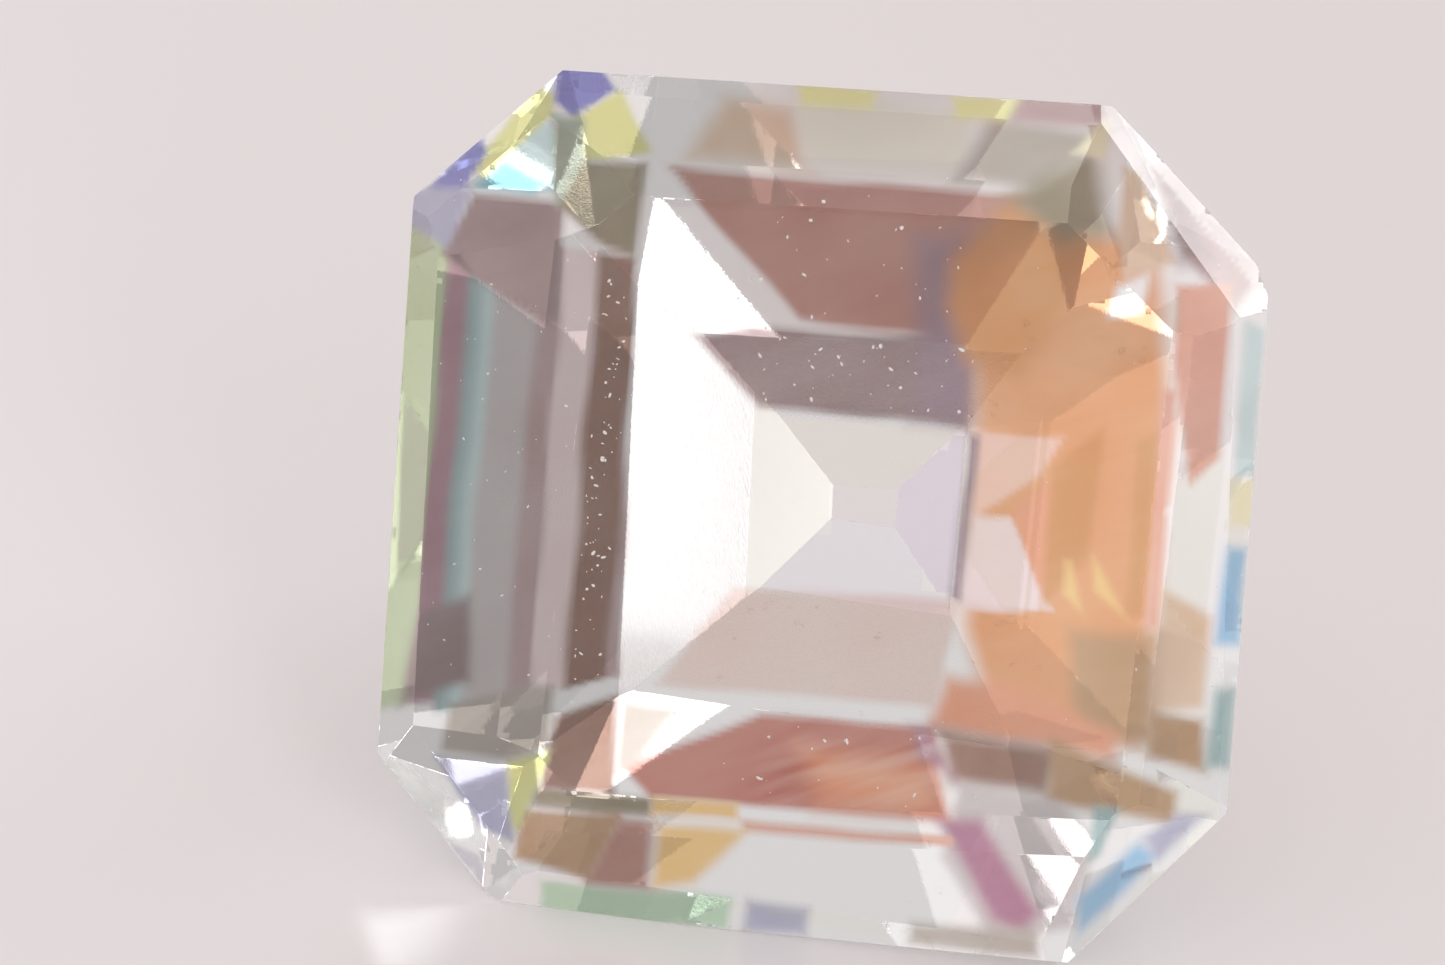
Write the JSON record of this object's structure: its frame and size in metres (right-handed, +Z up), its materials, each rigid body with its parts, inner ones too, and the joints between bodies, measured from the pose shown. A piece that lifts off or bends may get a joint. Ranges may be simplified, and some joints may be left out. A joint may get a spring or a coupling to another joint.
{
  "type": "rainbow moonstone",
  "caption": "Loose transparent rainbow moonstone cut as a square step-cut gem with clipped corners, lying on a pavilion facet.",
  "frame": {"origin": "on the ground plane, under the middle of the stone's bounding box", "axes": "+Z up; +X along the width of the table; the table faces up and towards -Y"},
  "size_m": [0.0082, 0.0062, 0.0065],
  "materials": {
    "moonstone": "polished clear stone with soft-edged orange, rose, yellow-green and blue colour flashes"
  },
  "bodies": {
    "root": {"moonstone": "moonstone"}
  },
  "joints": []
}
